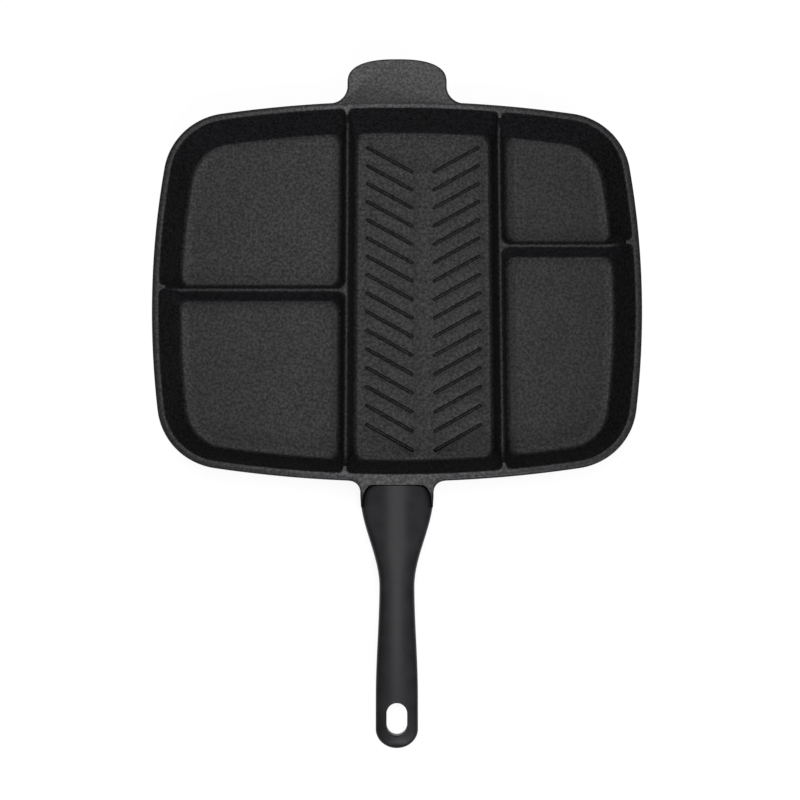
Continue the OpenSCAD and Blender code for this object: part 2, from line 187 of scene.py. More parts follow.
@dataclass(frozen=True)
class CoatedFinish:
    """Matte non-stick coating: near black, fine grained, with small paler flecks.

    The rim, tab and bracket tops are paler than the pockets, partly from rubbing and partly as a painted
    highlight:
    the share rub_and_highlight shows above the heights rub_highlight_from to rub_highlight_full, and
    middle_rub_and_highlight more within middle_from of the middle line, which fades out at middle_to.
    """

    name: str = "coated_casting"
    dark: Colour = (0.0026, 0.0026, 0.0029, 1.0)
    pale: Colour = (0.0220, 0.0220, 0.0233, 1.0)
    # Rubbed colours: partly wear, and partly a painted highlight on the rim, tab and bracket tops.
    rubbed_lit_dark: Colour = (0.0160, 0.0160, 0.0168, 1.0)
    rubbed_lit_pale: Colour = (0.0640, 0.0640, 0.0660, 1.0)
    mottle: float = 0.0022
    grain: float = 0.0008
    fleck: float = 0.0030
    cloud: float = 0.035
    mottle_share: float = 0.50
    grain_share: float = 0.12
    fleck_share: float = 0.34
    cloud_share: float = 0.12
    rough: float = 0.47
    sheen: float = 0.13
    relief: float = 0.00010
    # Shares and heights of the rubbed colours, which are partly wear and partly a painted highlight.
    rub_and_highlight: float = 0.20
    middle_rub_and_highlight: float = 0.48
    middle_from: float = 0.040
    middle_to: float = 0.125
    rub_highlight_from: float = 0.0369
    rub_highlight_full: float = 0.0378

    def flecks(self, s: Sheet, at: Signal) -> Signal:
        """Small round specks at the middles of Voronoi cells, thinned out by a coarser noise.

        Args:
            s: the material's sheet.
            at: object coordinates.

        Returns:
            How much fleck there is, from 0 to 1.
        """
        cell = s.add("ShaderNodeTexVoronoi", {"feature": "F1"}, {"Vector": at, "Scale": 1 / self.fleck},
                     out="Distance")
        return (1 - cell.ramp(0.12, 0.36)) * s.noise(at, self.fleck * 2.1).ramp(0.44, 0.62)

    def rub_and_highlight_share(self, s: Sheet, at: Signal) -> Signal:
        """How far the coating is rubbed and painted paler as a highlight: nothing below the rim, and most
        near the middle line on it.

        Args:
            s: the material's sheet.
            at: object coordinates.

        Returns:
            The share of the rubbed colours, which are partly wear and partly a painted highlight.
        """
        # Partly wear, partly painted highlight: the tops at rim height, most of all the tab and bracket near
        # the middle line, turn paler.
        high = s.axis(at, "Z").ramp(self.rub_highlight_from, self.rub_highlight_full)
        across = s.axis(at, "X")
        near_middle = 1 - (across * across).ramp(self.middle_from ** 2, self.middle_to ** 2)
        return high * (self.rub_and_highlight + near_middle * self.middle_rub_and_highlight)

    def make(self) -> bpy.types.Material:
        """Builds the material: mottling, grain and flecks change colour, roughness and relief together."""
        s = Sheet(self.name)
        at = s.place()
        mottle = s.noise(at, self.mottle, 1.5, 0.55)
        grain = s.noise(at, self.grain, 2.0, 0.6)
        cloud = s.noise(at, self.cloud, 2.0)
        fleck = self.flecks(s, at)
        rub_and_highlight_share = self.rub_and_highlight_share(s, at)
        share = (mottle.ramp(0.30, 0.70) * self.mottle_share + grain.ramp(0.35, 0.75) * self.grain_share
                 + fleck * self.fleck_share + (cloud - 0.5) * self.cloud_share)
        plain = s.blend(share, self.dark, self.pale)
        # The rubbed colours are partly wear and partly a painted highlight on the tops.
        rubbed_and_lit = s.blend(share, self.rubbed_lit_dark, self.rubbed_lit_pale)
        rough = (self.rough - (mottle - 0.5) * 0.36 + (grain - 0.5) * 0.10 - (cloud - 0.5) * 0.05
                 - rub_and_highlight_share * 0.15)
        bump = s.bump(mottle * 1.2 + grain * 0.3 + fleck * 0.2, 0.8, self.relief)
        return s.skin(s.blend(rub_and_highlight_share, plain, rubbed_and_lit), rough, bump, {"Specular IOR Level": self.sheen})


@dataclass(frozen=True)
class GripFinish:
    """Satin black moulded plastic with a very fine grain."""

    name: str = "grip_plastic"
    dark: Colour = (0.0066, 0.0066, 0.0073, 1.0)
    pale: Colour = (0.0120, 0.0120, 0.0135, 1.0)
    grain: float = 0.0005
    cloud: float = 0.012
    rough: float = 0.40
    sheen: float = 0.13
    relief: float = 0.00003

    def make(self) -> bpy.types.Material:
        """Builds the material: a fine moulded grain with soft clouds in its sheen."""
        s = Sheet(self.name)
        at = s.place()
        grain = s.noise(at, self.grain, 2.0)
        cloud = s.noise(at, self.cloud, 3.0)
        colour = s.blend(cloud.ramp(0.3, 0.7) * 0.6 + grain * 0.4, self.dark, self.pale)
        rough = self.rough + (cloud - 0.5) * 0.10 + (grain - 0.5) * 0.08
        return s.skin(colour, rough, s.bump(grain, 0.25, self.relief), {"Specular IOR Level": self.sheen})


@dataclass(frozen=True)
class ScrewFinish:
    """Turned steel: fine brushing and a little unevenness."""

    name: str = "screw_steel"
    dark: Colour = (0.34, 0.34, 0.35, 1.0)
    pale: Colour = (0.60, 0.60, 0.61, 1.0)
    brushing: float = 0.0003
    cloud: float = 0.004
    rough: float = 0.28
    relief: float = 0.00002

    def make(self) -> bpy.types.Material:
        """Builds the material: metal whose colour and roughness follow a fine noise."""
        s = Sheet(self.name)
        at = s.place()
        brushed = s.noise(at, self.brushing, 4.0, 0.7)
        cloud = s.noise(at, self.cloud, 2.0)
        colour = s.blend(brushed * 0.6 + cloud * 0.4, self.dark, self.pale)
        bump = s.bump(brushed, 0.2, self.relief)
        return s.skin(colour, self.rough + cloud * 0.2, bump, {"Metallic": 1.0})


# Mesh building

class Act(Enum):
    """What a tool does to the solid that it meets."""

    JOIN = "UNION"
    CUT = "DIFFERENCE"


def ease(t: Array) -> Array:
    """Smooth step from 0 to 1."""
    u = np.clip(t, 0, 1)
    return u * u * (3 - 2 * u)


def rounded(turn: Array, fullness: float) -> tuple[Array, Array]:
    """Unit form fuller than a circle: cosine and sine of turn, raised to fullness with their signs kept."""
    c, s = np.cos(turn), np.sin(turn)
    return np.sign(c) * np.abs(c) ** fullness, np.sign(s) * np.abs(s) ** fullness


def grid_faces(rows: int, columns: int, first: int = 0, wrap: bool = False) -> Array:
    """Quads of a grid whose points are numbered row by row.

    Args:
        rows: number of rows.
        columns: number of points in a row.
        first: number of the first point.
        wrap: joins the last column to the first.

    Returns:
        Point numbers shaped (quads, 4).
    """
    i = np.arange(rows - 1)[:, None] * columns + first
    j = np.arange(columns if wrap else columns - 1)[None, :]
    k = (j + 1) % columns
    return np.stack([i + j, i + k, i + columns + k, i + columns + j], axis=-1).reshape(-1, 4)


def level_ring(x: Array, y: Array, z: float) -> Array:
    """A ring of points at one height, shaped (n, 3)."""
    return np.stack([x, y, np.full(x.shape, z)], axis=-1)


class Shape:
    """Points and faces gathered in millimetres, then put into one mesh."""

    def __init__(self) -> None:
        """Starts empty."""
        self.points: list[Array] = []
        self.faces: list[list[int]] = []
        self.count = 0

    def add_points(self, points: Array) -> int:
        """Adds points.

        Args:
            points: places of any leading shape, with x, y and z last.

        Returns:
            The number of the first.
        """
        flat = np.asarray(points, dtype=float).reshape(-1, 3)
        first = self.count
        self.points.append(flat)
        self.count += len(flat)
        return first

    def add_grid(self, grid: Array, wrap: bool = False, flip: bool = False) -> int:
        """Adds a grid of points shaped (rows, columns, 3) with its quads.

        Args:
            grid: the points.
            wrap: joins the last column to the first.
            flip: turns the faces round.

        Returns:
            The number of its first point.
        """
        first = self.add_points(grid)
        quads = grid_faces(grid.shape[0], grid.shape[1], first, wrap)
        self.faces += (quads[:, ::-1] if flip else quads).tolist()
        return first

    def add_cap(self, first: int, count: int, flip: bool = False) -> None:
        """Closes a ring of count points, numbered from first, with one face."""
        ring = list(range(first, first + count))
        self.faces.append(ring[::-1] if flip else ring)

    def add_loft(self, rings: Array, flip: bool = False) -> None:
        """Adds a closed solid through rings, capped at both ends.

        Args:
            rings: the points, shaped (rows, columns, 3).
            flip: turns the faces round.
        """
        rows, columns = rings.shape[:2]
        first = self.add_grid(rings, wrap=True, flip=flip)
        self.add_cap(first, columns, flip=not flip)
        self.add_cap(first + (rows - 1) * columns, columns, flip=flip)

    def add_web(self, outer: Array, holes: Sequence[Array]) -> None:
        """Fills the level or gently bent region between one outer loop and some holes with triangles.

        The triangles come from the constrained Delaunay rule in plan. Those whose three points lie on one
        hole are left out, because every hole is convex.

        Args:
            outer: the outer loop, shaped (n, 3).
            holes: the inner loops, each shaped (n, 3).
        """
        loops = [np.asarray(outer)] + [np.asarray(h) for h in holes]
        points = np.concatenate(loops)
        owner = np.repeat(np.arange(len(loops)), [len(p) for p in loops])
        starts = np.cumsum([0] + [len(p) for p in loops[:-1]])
        edges = [(s + i, s + (i + 1) % len(p)) for s, p in zip(starts.tolist(), loops) for i in range(len(p))]
        flat = [Vector((float(x), float(y))) for x, y in points[:, :2]]
        outline = [list(range(len(loops[0])))]
        inside_only, near = 1, 1e-6
        _, _, tris, origin, _, _ = delaunay_2d_cdt(flat, edges, outline, inside_only, near)
        source = np.array([o[0] for o in origin])
        tris = source[np.array(tris)]
        a, b, c = (owner[tris[:, n]] for n in range(3))
        tris = tris[~((a == b) & (b == c) & (a > 0))]
        a, b, c = (points[tris[:, n]][:, :2] for n in range(3))
        turn = (b[:, 0] - a[:, 0]) * (c[:, 1] - a[:, 1]) - (b[:, 1] - a[:, 1]) * (c[:, 0] - a[:, 0])
        tris = np.where((turn < 0)[:, None], tris[:, ::-1], tris)
        first = self.add_points(points)
        self.faces += (tris + first).tolist()

    def mesh(self, name: str, weld: float = 2e-4) -> bpy.types.Object:
        """Makes the object.

        Args:
            name: the piece's name.
            weld: points closer than this, in millimetres, become one.

        Returns:
            The new object, linked to the scene.
        """
        data = bpy.data.meshes.new(name)
        data.from_pydata((np.concatenate(self.points) * MM).tolist(), [], self.faces)
        work = bmesh.new()
        work.from_mesh(data)
        bmesh.ops.remove_doubles(work, verts=work.verts, dist=weld * MM)
        bmesh.ops.dissolve_degenerate(work, dist=weld * MM * 0.5, edges=work.edges)
        work.to_mesh(data)
        work.free()
        obj = bpy.data.objects.new(name, data)
        bpy.context.scene.collection.objects.link(obj)
        soften(obj, WORK_SHARP)
        return obj


def loft(name: str, rings: Sequence[Array], flip: bool = False) -> bpy.types.Object:
    """Makes an object of one closed solid.

    Args:
        name: the object's name.
        rings: its sections, each shaped (n, 3).
        flip: turns the faces round.

    Returns:
        The new object.
    """
    shape = Shape()
    shape.add_loft(np.array(rings), flip)
    return shape.mesh(name)


def rod(radius: float, place_y: float, low: float, high: float, steps: int = 40) -> bpy.types.Object:
    """An upright rod on the middle line, used as a drill.

    Args:
        radius: its radius.
        place_y: where its axis stands.
        low: height of its lower end.
        high: height of its upper end.
        steps: number of its sides.

    Returns:
        The new object.
    """
    t = np.linspace(0, 2 * np.pi, steps, endpoint=False)
    x, y = radius * np.cos(t), place_y + radius * np.sin(t)
    return loft("rod_work", [level_ring(x, y, z) for z in (low, high)])


def soften(obj: bpy.types.Object, sharp: float) -> None:
    """Smooth shading all over, apart from edges that turn by more than sharp degrees."""
    obj.data.shade_smooth()
    obj.data.set_sharp_from_angle(angle=math.radians(sharp))


def combine(base: bpy.types.Object, tool: bpy.types.Object, act: Act) -> None:
    """Joins or cuts base with tool for good, and removes the tool.

    Args:
        base: the object that is changed.
        tool: the closed solid that acts on it.
        act: what it does.
    """
    modifier = base.modifiers.new("work", "BOOLEAN")
    modifier.operation = act.value
    modifier.solver = "EXACT"
    modifier.object = tool
    bpy.context.view_layer.update()
    result = bpy.data.meshes.new_from_object(base.evaluated_get(bpy.context.evaluated_depsgraph_get()))
    base.modifiers.clear()
    old, base.data = base.data, result
    bpy.data.meshes.remove(old)
    bpy.data.objects.remove(tool)


def dress(obj: bpy.types.Object, material: bpy.types.Material) -> None:
    """Gives the object this one material."""
    obj.data.materials.clear()
    obj.data.materials.append(material)


def report(obj: bpy.types.Object) -> None:
    """Logs a piece's triangles, its volume and any edges that don't join two faces.

    Args:
        obj: the finished piece.
    """
    work = bmesh.new()
    work.from_mesh(obj.data)
    loose = sum(1 for edge in work.edges if len(edge.link_faces) != 2)
    triangles = sum(len(face.verts) - 2 for face in work.faces)
    volume = work.calc_volume(signed=True) / MM ** 3
    work.free()
    LOG.info("%s: %d triangles, %d open edges, %.0f mm3", obj.name, triangles, loose, volume)


# The casting

@dataclass(frozen=True)
class BodySizes:
    """Sizes of the pan's body, as the CAD model has them, with finer divider crests and floor edges."""

    width: float = 380.3
    length: float = 299.8
    height: float = 38.0
    end_bulge: float = 960.0
    side_bulge: float = 673.0
    corner: float = 52.0
    floor: float = 4.0
    wall: float = 4.0
    rim: float = 5.5
    rim_band: float = 6.0
    rim_edge: float = 0.8
    crest_edge: float = 1.3
    crown_w: float = 3.4
    crown_h: float = 1.8
    lean: float = 11.3
    fillet: float = 4.0
    base_round: float = 9.0
    divider_height: float = 20.5
    divider: float = 3.0
    divider_lean: float = 4.0
    pocket_corner: float = 4.0
    corner_growth: float = 5.0
    shelf: float = 5.0
    apron: float = 4.6
    apron_rise: float = 0.5

    @property
    def half_w(self) -> float:
        """Half the width over the rim."""
        return self.width / 2

    @property
    def half_l(self) -> float:
        """Half the length over the rim."""
        return self.length / 2

    @property
    def crest(self) -> float:
        """Height of the dividers' level crests."""
        return self.floor + self.divider_height

    @property
    def drop(self) -> float:
        """How far the crests lie below the rim."""
        return self.height - self.crest

    @property
    def wall_slope(self) -> float:
        """Lean of the walls, as run over rise."""
        return self.lean / (self.height - self.floor)

    @property
    def divider_slope(self) -> float:
        """Lean of the dividers' faces, as run over rise."""
        return self.divider_lean / self.divider_height

    def rim_y(self, x: float) -> float:
        """How far the rim's rear outline lies from the middle at the place x."""
        return self.half_l - self.end_bulge + math.sqrt(self.end_bulge ** 2 - x * x)


@dataclass(frozen=True)
class Pocket:
    """One pocket: the place of the divider on each side, or None where the body's wall closes it.

    The sides come counter-clockwise and are numbered from 0: right, rear, left, front.
    """

    name: str
    places: tuple[float | None, float | None, float | None, float | None]


class Arc(Enum):
    """What an arc of a level ring is: a corner between two sides, or a side."""

    CORNER = 0
    SIDE = 1


def leaning_face(top_inset: float, slope: float, top: float, z: Array, body: BodySizes) -> Array:
    """Inset of a leaning face at height z: a straight lean that a quarter round carries over into the floor.

    Args:
        top_inset: inset at the face's top.
        slope: its lean, as run over rise.
        top: height of its top.
        z: heights.
        body: sizes.

    Returns:
        The inset at each height.
    """
    turn = math.atan(slope)
    low = body.floor + body.fillet
    lean = top_inset + slope * np.maximum(0, top - z)
    centre = top_inset + slope * max(0.0, top - low) + body.fillet / math.cos(turn)
    round_part = centre - np.sqrt(np.maximum(0, body.fillet ** 2 - (low - z) ** 2))
    return np.where(z > low - body.fillet * math.sin(turn), lean, round_part)


def unit_between(first: Array, last: Array, share: Array) -> Array:
    """Unit directions part of the way round, counter-clockwise, from the direction of first to that of last.

    Args:
        first: vectors in plan.
        last: vectors in plan.
        share: how far to go, from 0 to 1.

    Returns:
        The directions, shaped as the vectors.
    """
    start = np.arctan2(first[..., 1], first[..., 0])
    end = np.arctan2(last[..., 1], last[..., 0])
    turn = start + ((end - start) % (2 * np.pi)) * share
    return np.stack([np.cos(turn), np.sin(turn)], axis=-1)


# Radius of the arcs that stand for straight dividers
STRAIGHT = 5e5
# Turns of a run-up's quarter circle at which the pocket walls have a row
SWEEP_TURNS = (0, 7.5, 15, 22.5, 30, 37.5, 45, 52.5, 60, 67.5, 75, 82.5, 90)
# Share of the drop below which a run-up stands clear of the corner's arc
CLEAR_DEPTH = 0.37
# Least distance between a run-up's columns
COLUMN_GAP = 0.02
# How far the rows beside a round lie on the flats, so that the flats keep their level shading
HOLD = 0.1


class Interior:
    """Pocket walls as surfaces of two parameters: place round the pocket, and height.

    Each side is an arc about its own centre (a divider is an arc of a very large circle), and each corner is
    an arc that touches its two sides from inside, so a level ring is four corner arcs and four side arcs in
    turn.
    """

    def __init__(self, body: BodySizes, pocket: Pocket, corner_steps: int = 12, step: float = 7.0) -> None:
        """Lays out the columns of points: each has a place on its arc and a height at which it ends.

        Args:
            body: sizes.
            pocket: the dividers round it.
            corner_steps: steps on a small corner's arc.
            step: distance between points on the sides, in millimetres.
        """
        self.body = body
        self.pocket = pocket
        self.walled = [p is None for p in pocket.places]
        kinds, shares, tops = [], [], []
        for k in range(4):
            after = (k + 1) % 4
            wide = self.walled[k] and self.walled[after]
            turns = np.linspace(0, 1, corner_steps * (2 if wide else 1) + 1)
            level = body.height if self.walled[k] or self.walled[after] else body.crest
            along, heights = self.side_columns(after, step)
            kinds += [(Arc.CORNER.value, k)] * len(turns) + [(Arc.SIDE.value, after)] * len(along)
            shares += [turns, along]
            tops += [np.full(turns.shape, level), heights]
        self.kind = np.array(kinds)
        self.share = np.concatenate(shares)
        self.top = np.concatenate(tops)

    def on(self, arc: Arc, k: int) -> Array:
        """Which columns lie on corner or side k."""
        return np.all(self.kind == (arc.value, k), axis=1)

    def neighbour(self, k: int, end: int) -> int:
        """The side that side k meets at its start (end 0) or finish (end 1)."""
        return (k + (1 if end else 3)) % 4

    def length(self, k: int, z: Array) -> Array:
        """Length of side k between its two corners' arcs at height z."""
        return np.linalg.norm(self.corner_centre(k, z) - self.corner_centre((k + 3) % 4, z), axis=-1)

    def ahead(self, k: int, end: int, z: Array) -> Array:
        """How far the run-up's face stands in front of the corner's arc where divider k ends at a wall.

        The run-up is a shelf as high as the rim, and then a quarter circle down to the level crest.

        Args:
            k: the divider's side.
            end: 0 for its start, 1 for its finish.
            z: heights.

        Returns:
            The distance at each height.
        """
        b, place = self.body, self.pocket.places[k]
        corner = self.corner_centre(k if end else (k + 3) % 4, z)
        wide, bulge = (b.half_l, b.end_bulge) if k % 2 == 0 else (b.half_w, b.side_bulge)
        reach = wide - bulge + math.sqrt((bulge - b.rim) ** 2 - place ** 2)
        face = b.shelf + b.drop - np.sqrt(np.maximum(0, b.drop ** 2 - (b.height - z) ** 2))
        return face - (reach - np.abs(corner[..., 1 if k % 2 == 0 else 0]))

    def lead(self, k: int, end: int, z: Array) -> Array:
        """The same distance where it is more than nothing near the rim, for the columns to start from.

        Args:
            k: the side.
            end: 0 for its start, 1 for its finish.
            z: heights.

        Returns:
            The distance at each height.
        """
        if self.walled[k] or not self.walled[self.neighbour(k, end)]:
            return np.zeros(np.shape(z))
        near = self.body.height - z < CLEAR_DEPTH * self.body.drop
        return np.where(near, np.maximum(0, self.ahead(k, end, z)), 0)

    def side_columns(self, k: int, step: float) -> tuple[Array, Array]:
        """Lays out the columns along side k.

        Args:
            k: the side.
            step: distance between them, in millimetres.

        Returns:
            Their places, from 0 to 1, and the height at which each one ends.
        """
        b = self.body
        length = float(self.length(k, np.array(b.height)))
        if self.walled[k]:
            share = np.linspace(0, 1, int(length / step) + 2)[1:-1]
            return share, np.full(share.shape, b.height)
        runs = []
        for end in (0, 1):
            if self.walled[self.neighbour(k, end)]:
                deep = b.drop * np.sin(np.radians(SWEEP_TURNS))
                out = np.maximum(0, self.ahead(k, end, b.height - deep))
                far = np.where(deep > CLEAR_DEPTH * b.drop, out, 0) + COLUMN_GAP * np.arange(len(deep))
                runs.append((far / self.length(k, b.height - deep), b.height - deep))
            else:
                runs.append((np.zeros(1), np.full(1, b.crest)))
        low, high = runs[0][0][-1], 1 - runs[1][0][-1]
        middle = np.linspace(low, high, int(length * (high - low) / step) + 2)[1:-1]
        first = slice(0 if self.walled[self.neighbour(k, 0)] else 1, None)
        last = slice(0 if self.walled[self.neighbour(k, 1)] else 1, None)
        share = np.concatenate([runs[0][0][first], middle, (1 - runs[1][0][last])[::-1]])
        top = np.concatenate([runs[0][1][first], np.full(middle.shape, b.crest), runs[1][1][last][::-1]])
        return share, top

    def centre(self, k: int) -> Array:
        """Centre of a side's arc.

        Args:
            k: the side.

        Returns:
            Its place in plan.
        """
        b, place = self.body, self.pocket.places[k]
        sign = 1 if k < 2 else -1
        if place is None:
            value = sign * (b.half_w - b.side_bulge if k % 2 == 0 else b.half_l - b.end_bulge)
        else:
            value = place - sign * STRAIGHT
        return np.array([value, 0.0]) if k % 2 == 0 else np.array([0.0, value])

    def radius(self, k: int, z: Array) -> Array:
        """Radius of a side's arc, which shrinks as its face leans in.

        Args:
            k: the side.
            z: heights.

        Returns:
            The radius at each height.
        """
        b = self.body
        if self.walled[k]:
            bulge = b.side_bulge if k % 2 == 0 else b.end_bulge
            return bulge - leaning_face(b.rim, b.wall_slope, b.height, z, b)
        return STRAIGHT - leaning_face(b.divider / 2, b.divider_slope, b.crest, z, b)

    def corner_radius(self, k: int, z: Array) -> Array:
        """Radius of the corner between sides k and k + 1.

        It grows towards the floor, and shrinks in the fillet.

        Args:
            k: the corner.
            z: heights.

        Returns:
            The radius at each height.
        """
        b = self.body
        if self.walled[k] and self.walled[(k + 1) % 4]:
            return b.corner - leaning_face(b.rim, b.wall_slope, b.height, z, b)
        sunk = leaning_face(0.0, b.wall_slope, b.height, z, b) - b.wall_slope * np.maximum(0, b.height - z)
        growth = b.corner_growth * np.minimum(1, (b.height - z) / (b.height - b.floor))
        return b.pocket_corner + growth - 0.5 * sunk

    def corner_centre(self, k: int, z: Array) -> Array:
        """Where the circle of corner k stands: the crossing of its two sides' arcs, moved in by its radius.

        Args:
            k: the corner.
            z: heights.

        Returns:
            The centre in plan at each height, with x and y last.
        """
        c1, c2 = self.centre(k), self.centre((k + 1) % 4)
        r = self.corner_radius(k, z)
        r1, r2 = self.radius(k, z) - r, self.radius((k + 1) % 4, z) - r
        gap = np.linalg.norm(c2 - c1)
        along = (r1 * r1 - r2 * r2 + gap * gap) / (2 * gap)
        off = np.sqrt(r1 * r1 - along * along)
        unit = (c2 - c1) / gap
        return c1 + along[..., None] * unit + off[..., None] * np.array([-unit[1], unit[0]])

    def plan(self, z: Array) -> tuple[Array, Array]:
        """Points and outward directions, in plan, of every column at its own heights.

        Args:
            z: heights shaped (rows, columns).

        Returns:
            Points and unit directions shaped (rows, columns, 2).
        """
        points = np.zeros(z.shape + (2,))
        away = np.zeros(z.shape + (2,))
        for k in range(4):
            after = (k + 1) % 4
            here, there = self.centre(k), self.centre(after)
            corner = self.on(Arc.CORNER, k)
            zc = z[:, corner]
            centre = self.corner_centre(k, zc)
            away[:, corner] = unit_between(centre - here, centre - there, self.share[corner])
            points[:, corner] = centre + self.corner_radius(k, zc)[..., None] * away[:, corner]
            side = self.on(Arc.SIDE, after)
            zs = z[:, side]
            first = self.corner_centre(k, zs) - there
            last = self.corner_centre(after, zs) - there
            span = self.length(after, zs)
            start = self.lead(after, 0, zs) / span
            share = start + self.share[side] * (1 - start - self.lead(after, 1, zs) / span)
            away[:, side] = unit_between(first, last, share)
            points[:, side] = there + self.radius(after, zs)[..., None] * away[:, side]
        return points, away

    def surface(self, apron: bool, walls: int = 5, rounds: int = 7) -> Array:
        """The pocket's walls from the top's flat down to the floor.

        Rows: a point on the flat top, the rounded edge, levels that the run-ups end on, the leaning wall, the
        fillet, the apron, and a point on the floor. A column that ends below a level keeps its own end there.
        The apron is a gently sloped band: the fillet is lifted by its rise, less and less towards the
        fillet's top.

        Args:
            apron: slopes the floor's edge.
            walls: rows on the leaning wall below the crests.
            rounds: rows in the fillet.

        Returns:
            Points shaped (rows, columns, 3).
        """
        b, top = self.body, self.top
        edge = b.rim_edge + (b.crest_edge - b.rim_edge) * ease((b.height - top) / b.drop)
        upper = top - edge * (1 - np.sin(np.radians([90, 60, 30])))[:, None]
        levels = b.height - edge - b.drop * np.sin(np.radians(SWEEP_TURNS))[:, None]
        middle = np.minimum(levels, top - edge)
        foot = b.floor + b.fillet * (1 - math.sin(math.atan(b.wall_slope)))
        lower = np.linspace(b.crest - edge, np.full(top.shape, foot), walls + 1)[1:]
        bend = np.linspace(math.atan(b.wall_slope), math.pi / 2, rounds + 1)[1:]
        low = np.concatenate([b.floor + b.fillet * (1 - np.sin(bend)), [b.floor]])
        z = np.concatenate([upper[:1], upper, middle, lower, low[:, None] + np.zeros_like(top)])
        rise = np.clip(z - (top - edge), 0, edge)
        push = edge - np.sqrt(np.maximum(0, edge ** 2 - rise ** 2))
        push[0] += HOLD
        points, away = self.plan(z)
        points = points + away * push[..., None]
        points[-1] -= away[-1] * HOLD * 3
        if apron:
            z[:-1] += b.apron_rise * np.clip(1 - (z[:-1] - b.floor) / b.fillet, 0, 1)
            foot_row = points[-2] - away[-2] * (b.apron - HOLD)
            points = np.concatenate([points[:-1], foot_row[None], (points[-1] - away[-1] * b.apron)[None]])
            z = np.concatenate([z, z[-1:]])
        return np.concatenate([points, z[..., None]], axis=-1)


def flare_turns(count: int) -> tuple[Array, Array]:
    """Angles along a flare's arc, a quarter turn from its thin end on the rim to the straight side.

    Args:
        count: number of angles.

    Returns:
        The angles, and the share of the rim's crown in the flare's edge at each, which is 1 on the rim.
    """
    turns = np.radians(np.linspace(270, 180, count))
    return turns, ease((turns - np.pi) / (np.pi / 2))


